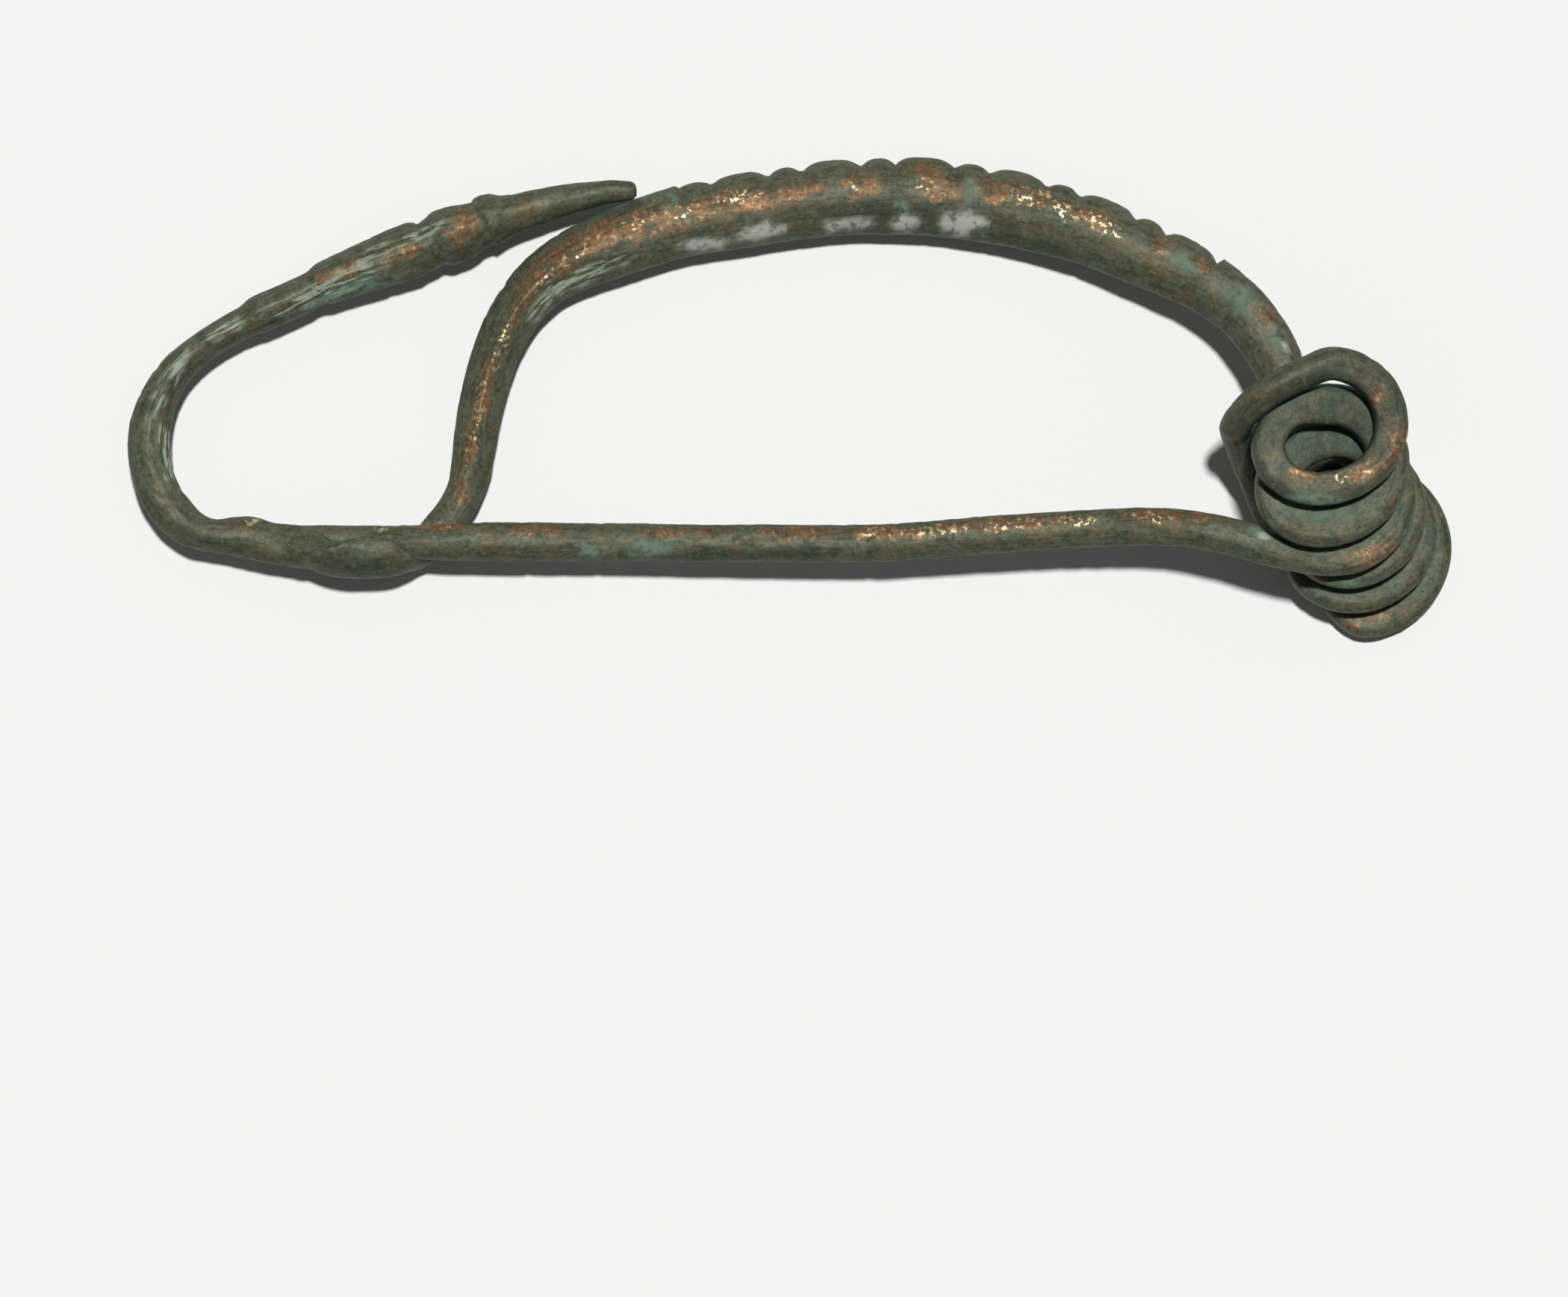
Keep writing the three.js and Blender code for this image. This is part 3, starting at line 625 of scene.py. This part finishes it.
# Polished spots, put along the lit lines of the pin, the leg and the crest, where they also paint
# highlights.
POLISH_AND_HIGHLIGHT = [
    (-1.2, 1.5, 0.25, 0.2, 0),
    (0.6, 2.0, 0.2, 0.2, 0),
    (-72.2, -1.8, 0.4, 0.2, 0),
    (-67.0, -1.6, 0.3, 0.2, 0),
    (-82.0, -1.4, 0.6, 0.2, 0),
    (-49.5, 21.9, 1.2, 0.3, 14),
    (-45.6, 22.9, 1.4, 0.3, 10),
    (-37.0, 23.5, 0.3, 0.5, 0),
    (-31.8, 23.9, 0.6, 0.3, 0),
    (-23.4, 22.9, 1.7, 0.5, -10),
    (-21.0, 22.0, 1.4, 0.5, -20),
    (-17.9, 20.6, 1.4, 0.4, -30),
    (-56.5, 19.7, 0.5, 0.3, 20),
    (-34.9, -2.3, 1.5, 0.25, 0),
    (-30.2, -2.1, 2.2, 0.25, 3),
    (-25.2, -1.7, 3.0, 0.25, 5),
    (-20.3, -1.4, 2.2, 0.25, 2),
    (-14.6, -1.2, 1.6, 0.25, -3),
    (-63.3, 11.6, 0.3, 1.9, -18),
    (-64.9, 7.4, 0.26, 2.5, -8),
    (-65.6, 3.9, 0.26, 1.5, -6),
    (-58.0, 18.3, 1.0, 0.3, 35),
    (-60.0, 16.9, 0.8, 0.25, 45),
    (-53.3, 20.9, 0.9, 0.35, 18),
]
PATCH_RIM = 0.15
facing_up = smooth(0.0, 0.35, outward[:, 2])


def patches(rows):
    mask = np.zeros(len(points))
    ragged = 0.3 * ripple + 0.4 * pitting + 0.25 * crumb  # the edges follow the relief
    for x, y, long, wide, lean in rows:
        turn = math.radians(lean)
        east = points[:, 0] / UNIT - x
        north = points[:, 1] / UNIT - y
        along = (east * math.cos(turn) + north * math.sin(turn)) / (long + PATCH_RIM)
        aside = (north * math.cos(turn) - east * math.sin(turn)) / (wide + PATCH_RIM)
        mask = np.maximum(mask, 1 - smooth(0.45, 1.3, np.hypot(along, aside) + ragged))
    return mask * facing_up


lime = patches(LIME_CRUST)
streak = patches(PALE_STREAK)
malachite = patches(MALACHITE)
copper = patches(BARE_COPPER)
polish_and_highlight = patches(POLISH_AND_HIGHLIGHT)
tarnish_and_shade = patches(TARNISH_AND_SHADE)
relief += LIME_THICKNESS * lime * (1 + crumb) + MALACHITE_THICKNESS * malachite
points = points + outward * relief[:, None]

# On the table. Spots that would stand out of the solid's box, by under 0.1 mm, are pressed flat to it.
points = points @ lay.T + offset
points = np.clip(points, np.array(node_low) / MM, np.array(node_high) / MM)
outward = normals_of(points)

# How hidden each spot is: green corrosion stays in the folds between the coils and in the catch, and the
# most hidden spots get a near-black painted shade.
# It is the share of the spokes around the spot's own direction that meet the brooch within reach.
HIDDEN_REACH = 1.3
LIFT_OFF = 0.04
SPOKES = [(0.35, 4), (0.95, 7)]  # how far each ring of them tilts in radians, and how many they are
tree = BVHTree.FromPolygons([tuple(p) for p in points], triangles.tolist())
spokes = []
for tilt, number in SPOKES:
    for nth in range(number):
        angle = 2 * math.pi * (nth + tilt) / number
        spokes.append((math.sin(tilt) * math.cos(angle), math.sin(tilt) * math.sin(angle), math.cos(tilt)))
helper = np.where(np.abs(outward[:, :1]) < 0.8, np.array([[1.0, 0, 0]]), np.array([[0, 1.0, 0]]))
first_axis = np.cross(outward, helper)
first_axis /= np.linalg.norm(first_axis, axis=1)[:, None]
second_axis = np.cross(outward, first_axis)
hidden = np.zeros(len(points))
start = points + outward * LIFT_OFF
for p, q, r in spokes:
    ray = first_axis * p + second_axis * q + outward * r
    for index in range(len(points)):
        hit = tree.ray_cast(start[index], ray[index], HIDDEN_REACH)
        if hit[0] is not None:
            hidden[index] += 1 / len(spokes)

skin_mesh = bpy.data.meshes.new("bronze_fibula")
skin_mesh.vertices.add(len(points))
skin_mesh.vertices.foreach_set("co", (points * MM).ravel())
skin_mesh.loops.add(quads.size + caps.size)
skin_mesh.loops.foreach_set("vertex_index", np.concatenate([quads.ravel(), caps.ravel()]).astype(np.int32))
skin_mesh.polygons.add(len(quads) + len(caps))
starts = np.concatenate([np.arange(len(quads)) * 4, quads.size + np.arange(len(caps)) * 3])
skin_mesh.polygons.foreach_set("loop_start", starts.astype(np.int32))
skin_mesh.polygons.foreach_set("use_smooth", np.ones(len(starts), bool))
skin_mesh.update(calc_edges=True)
high_spot = np.concatenate([np.tile(np.abs(c[0]), RINGS), [0, 0]])
for name, values in (
    ("lime", lime),
    ("malachite", malachite),
    ("streak", streak),
    ("copper", copper),
    ("polish_and_highlight", polish_and_highlight),
    ("tarnish_and_shade", tarnish_and_shade),
    ("hidden", hidden),
    ("high_spot", high_spot),
):
    layer = skin_mesh.attributes.new(name, "FLOAT", "POINT")
    layer.data.foreach_set("value", values.astype(np.float32))

# Hammering leaves streaks along the rod: these are places with their length shortened, so that
# blotches read there come out long.
STREAK_STRETCH = 0.12
lengthwise = np.zeros((len(points), 3))
lengthwise[:-2, 0] = np.repeat(s * STREAK_STRETCH, SIDES)
lengthwise[:-2, 1] = (half * np.ones_like(phi)).ravel()
lengthwise[:-2, 2] = (u * np.ones_like(phi)).ravel()
layer = skin_mesh.attributes.new("lengthwise", "FLOAT_VECTOR", "POINT")
layer.data.foreach_set("vector", lengthwise.astype(np.float32).ravel())


# A shader group that breaks a surface into blotches: a mask of noise above a level, with soft or crisp
# edges.
def make_blotches():
    group = bpy.data.node_groups.new("blotches", "ShaderNodeTree")
    for label, kind, way, value in (
        ("Vector", "NodeSocketVector", "INPUT", None),
        ("Scale", "NodeSocketFloat", "INPUT", 1.0),
        ("Level", "NodeSocketFloat", "INPUT", 0.5),
        ("Softness", "NodeSocketFloat", "INPUT", 0.1),
        ("Mask", "NodeSocketFloat", "OUTPUT", None),
        ("Noise", "NodeSocketFloat", "OUTPUT", None),
    ):
        socket = group.interface.new_socket(label, in_out=way, socket_type=kind)
        if value is not None:
            socket.default_value = value
    nodes = group.nodes
    wires = group.links
    entry = nodes.new("NodeGroupInput")
    leave = nodes.new("NodeGroupOutput")
    cloud = nodes.new("ShaderNodeTexNoise")
    cloud.inputs["Detail"].default_value = 4.0
    cloud.inputs["Roughness"].default_value = 0.6
    wires.new(entry.outputs["Vector"], cloud.inputs["Vector"])
    wires.new(entry.outputs["Scale"], cloud.inputs["Scale"])
    ramp = nodes.new("ShaderNodeMapRange")
    ramp.interpolation_type = "SMOOTHSTEP"
    wires.new(cloud.outputs["Fac"], ramp.inputs["Value"])
    for end, operation in (("From Min", "SUBTRACT"), ("From Max", "ADD")):
        edge = nodes.new("ShaderNodeMath")
        edge.operation = operation
        wires.new(entry.outputs["Level"], edge.inputs[0])
        wires.new(entry.outputs["Softness"], edge.inputs[1])
        wires.new(edge.outputs[0], ramp.inputs[end])
    wires.new(ramp.outputs["Result"], leave.inputs["Mask"])
    wires.new(cloud.outputs["Fac"], leave.inputs["Noise"])
    return group


blotches = make_blotches()

# Buried bronze: a smooth olive-brown skin mottled with dark green, worn to copper on the high spots, with
# pale malachite and lime crusts, dark green tarnish that is partly painted shade, bright brass that also
# paints highlights, and near-black painted shade in the folds.
OLIVE = (0.094, 0.098, 0.058)
BROWN = (0.120, 0.084, 0.044)
DARK_GREEN = (0.040, 0.058, 0.040)
GREY_GREEN = (0.108, 0.140, 0.100)
COPPER = (0.260, 0.125, 0.056)
# the colour of polished brass, which also paints the highlights on the lit lines
POLISHED_BRASS_AND_HIGHLIGHT = (0.950, 0.740, 0.400)
PORE = (0.022, 0.030, 0.020)
GRAIN = (0.200, 0.220, 0.130)
VERDIGRIS = (0.150, 0.230, 0.165)
PALE_GREEN = (0.350, 0.415, 0.325)
LIME = (0.470, 0.480, 0.425)
TEAL = (0.055, 0.110, 0.088)
# the near-black painted shade of the most hidden folds
PAINTED_SHADE = (0.018, 0.026, 0.020)

bronze = bpy.data.materials.new("patinated_bronze")
bronze.use_nodes = True
nodes = bronze.node_tree.nodes
wires = bronze.node_tree.links
shader = nodes["Principled BSDF"]
place = nodes.new("ShaderNodeTexCoord")
scaled = nodes.new("ShaderNodeVectorMath")
scaled.operation = "SCALE"
scaled.inputs["Scale"].default_value = 1 / MM
wires.new(place.outputs["Object"], scaled.inputs[0])
lengthwise_way = nodes.new("ShaderNodeAttribute")
lengthwise_way.attribute_name = "lengthwise"


# Blotches of a scale per millimetre, in a cloud of their own.
def blotch(scale, level, softness, shift, way=scaled.outputs[0]):
    moved = nodes.new("ShaderNodeVectorMath")
    moved.operation = "ADD"
    moved.inputs[1].default_value = (shift, shift * 0.37, -shift)
    wires.new(way, moved.inputs[0])
    made = nodes.new("ShaderNodeGroup")
    made.node_tree = blotches
    made.inputs["Scale"].default_value = scale
    made.inputs["Level"].default_value = level
    made.inputs["Softness"].default_value = softness
    wires.new(moved.outputs[0], made.inputs["Vector"])
    return made.outputs


def layer_mask(name):
    made = nodes.new("ShaderNodeAttribute")
    made.attribute_name = name
    return made.outputs["Fac"]


# An operation on two masks or numbers, kept between 0 and 1.
def arithmetic(operation, a, b):
    made = nodes.new("ShaderNodeMath")
    made.operation = operation
    made.use_clamp = True
    for socket, value in zip(made.inputs, (a, b)):
        if isinstance(value, (int, float)):
            socket.default_value = value
        else:
            wires.new(value, socket)
    return made.outputs[0]


def times(a, b):
    return arithmetic("MULTIPLY", a, b)


# Lays a colour over another where a mask says. The mix node names its sockets by the kind of data.
def tint(below, colour, mask):
    made = nodes.new("ShaderNodeMix")
    made.data_type = "RGBA"
    sockets = {socket.identifier: socket for socket in [*made.inputs, *made.outputs]}
    wires.new(mask, sockets["Factor_Float"])
    if isinstance(below, tuple):
        sockets["A_Color"].default_value = (*below, 1)
    else:
        wires.new(below, sockets["A_Color"])
    sockets["B_Color"].default_value = (*colour, 1)
    return sockets["Result_Color"]


brown_mask = blotch(0.8, 0.52, 0.10, 3.0)
green_mask = blotch(1.0, 0.52, 0.10, 17.0)
grey_mask = blotch(1.6, 0.54, 0.09, 29.0)
rust_mask = blotch(1.5, 0.50, 0.13, 41.0)
specks = blotch(3.4, 0.64, 0.06, 53.0)
glints = blotch(4.8, 0.57, 0.05, 67.0)
breaks = blotch(2.4, 0.46, 0.12, 83.0)
grain = blotch(9.0, 0.5, 0.3, 71.0)
pores = blotch(5.5, 0.56, 0.08, 97.0)
flecks = blotch(4.6, 0.57, 0.07, 113.0)
fibres = blotch(5.0, 0.52, 0.08, 131.0, lengthwise_way.outputs["Vector"])
scores = blotch(6.5, 0.56, 0.06, 167.0, lengthwise_way.outputs["Vector"])
streaks = blotch(5.2, 0.505, 0.05, 149.0, lengthwise_way.outputs["Vector"])

worn = times(times(layer_mask("high_spot"), rust_mask["Mask"]), 0.14)
bare = times(times(layer_mask("copper"), arithmetic("ADD", rust_mask["Mask"], 0.3)), 0.75)
bare = arithmetic("MAXIMUM", bare, worn)
# Painted highlight: bright brass specks on the polished spots and, fewer, on the bare copper.
shine_and_highlight = times(layer_mask("polish_and_highlight"), glints["Mask"])
shine_and_highlight = arithmetic("MAXIMUM", shine_and_highlight, times(times(bare, glints["Mask"]), 0.22))
green_spots = times(layer_mask("malachite"), breaks["Mask"])
green_spots = arithmetic("MAXIMUM", green_spots, times(specks["Mask"], 0.35))
pale = times(layer_mask("streak"), streaks["Mask"])
crust = times(layer_mask("lime"), arithmetic("ADD", breaks["Mask"], 0.3))
# Painted shade: near black where a spot is most hidden, between the coils and in the catch.
deep = arithmetic("SUBTRACT", times(layer_mask("hidden"), 1.1), 0.5)
fold = arithmetic("SUBTRACT", times(layer_mask("hidden"), 1.3), 0.15)

# The patina's coats from the lowest up, painted highlight and painted shade among them: colour, where it
# lies and how strongly it shows.
colour = OLIVE
for coat, where, strength in (
    (BROWN, brown_mask["Mask"], 0.8),
    (DARK_GREEN, green_mask["Mask"], 0.75),
    (GREY_GREEN, grey_mask["Mask"], 0.6),
    (GRAIN, flecks["Mask"], 0.26),
    (GREY_GREEN, fibres["Mask"], 0.45),
    # dark green tarnish, partly painted shade on the lower sides
    (DARK_GREEN, layer_mask("tarnish_and_shade"), 0.62),
    (COPPER, bare, 1.0),
    (PORE, pores["Mask"], 0.42),
    (PORE, scores["Mask"], 0.38),
    # painted highlight of bright brass
    (POLISHED_BRASS_AND_HIGHLIGHT, shine_and_highlight, 1.0),
    (VERDIGRIS, green_spots, 0.8),
    (PALE_GREEN, pale, 0.85),
    (LIME, crust, 0.85),
    (TEAL, fold, 0.7),
    # near-black painted shade in the folds
    (PAINTED_SHADE, deep, 1.0),
):
    colour = tint(colour, coat, times(where, strength))
wires.new(colour, shader.inputs["Base Color"])

# Bare metal and the painted highlight shine. What covers it, the painted shade in the folds too, is dull and
# rough.
covered = green_spots
for cover in (crust, deep, pale):
    covered = arithmetic("MAXIMUM", covered, cover)
metal = arithmetic("ADD", times(bare, 0.3), times(shine_and_highlight, 0.6))
metal = times(arithmetic("ADD", metal, 0.2), arithmetic("SUBTRACT", 1.0, covered))
wires.new(metal, shader.inputs["Metallic"])
rough = arithmetic("ADD", times(grain["Noise"], 0.24), 0.4)
rough = arithmetic("SUBTRACT", rough, times(shine_and_highlight, 0.18))
rough = arithmetic("ADD", rough, times(covered, 0.25))
wires.new(rough, shader.inputs["Roughness"])
shader.inputs["Specular IOR Level"].default_value = 0.15
bump = nodes.new("ShaderNodeBump")
bump.inputs["Distance"].default_value = 0.045 * MM
bump.inputs["Strength"].default_value = 0.8
height = arithmetic("ADD", times(grain["Noise"], 0.4), times(specks["Noise"], 0.35))
height = arithmetic("ADD", height, times(fibres["Noise"], 0.25))
wires.new(height, bump.inputs["Height"])
wires.new(bump.outputs["Normal"], shader.inputs["Normal"])

brooch = bpy.data.objects.new("bronze_fibula", skin_mesh)
bpy.context.scene.collection.objects.link(brooch)
skin_mesh.materials.append(bronze)
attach(brooch, "root")
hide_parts("fibula")


# The table: a smooth off-white board under the brooch. It isn't part of the object.
TABLE_SIDE = 2.0
TABLE_COLOUR = (0.850, 0.853, 0.840)
table_mesh = bpy.data.meshes.new("table")
edge = TABLE_SIDE / 2
corners = [(-edge, -edge, 0), (edge, -edge, 0), (edge, edge, 0), (-edge, edge, 0)]
table_mesh.from_pydata(corners, [], [(0, 1, 2, 3)])
table = bpy.data.objects.new("table", table_mesh)
bpy.context.scene.collection.objects.link(table)
board = bpy.data.materials.new("off_white_board")
board.use_nodes = True
board_shader = board.node_tree.nodes["Principled BSDF"]
board_shader.inputs["Base Color"].default_value = (*TABLE_COLOUR, 1)
board_shader.inputs["Roughness"].default_value = 0.8
board_shader.inputs["Specular IOR Level"].default_value = 0.2
table_mesh.materials.append(board)

# The light: one soft lamp high above the far edge of the table, and the faint light of a pale room.
LAMP_TILT = math.radians(14)
LAMP_SWING = math.radians(12)  # to the right of the far edge
LAMP_LIGHT = 3.14
LAMP_WIDTH = math.radians(4)  # as seen from the table
ROOM_COLOUR = (0.95, 0.97, 1.0)
ROOM_LIGHT = 0.09
lamp_data = bpy.data.lights.new("lamp", "SUN")
lamp_data.energy = LAMP_LIGHT
lamp_data.angle = LAMP_WIDTH
lamp = bpy.data.objects.new("lamp", lamp_data)
toward = Vector(
    (
        math.sin(LAMP_TILT) * math.sin(LAMP_SWING),
        math.sin(LAMP_TILT) * math.cos(LAMP_SWING),
        math.cos(LAMP_TILT),
    )
)
lamp.rotation_euler = toward.to_track_quat("Z", "Y").to_euler()
bpy.context.scene.collection.objects.link(lamp)
room = bpy.data.worlds.new("room")
room.use_nodes = True
background = room.node_tree.nodes["Background"]
background.inputs["Color"].default_value = (*ROOM_COLOUR, 1)
background.inputs["Strength"].default_value = ROOM_LIGHT
bpy.context.scene.world = room
bpy.context.scene.view_settings.view_transform = "Standard"
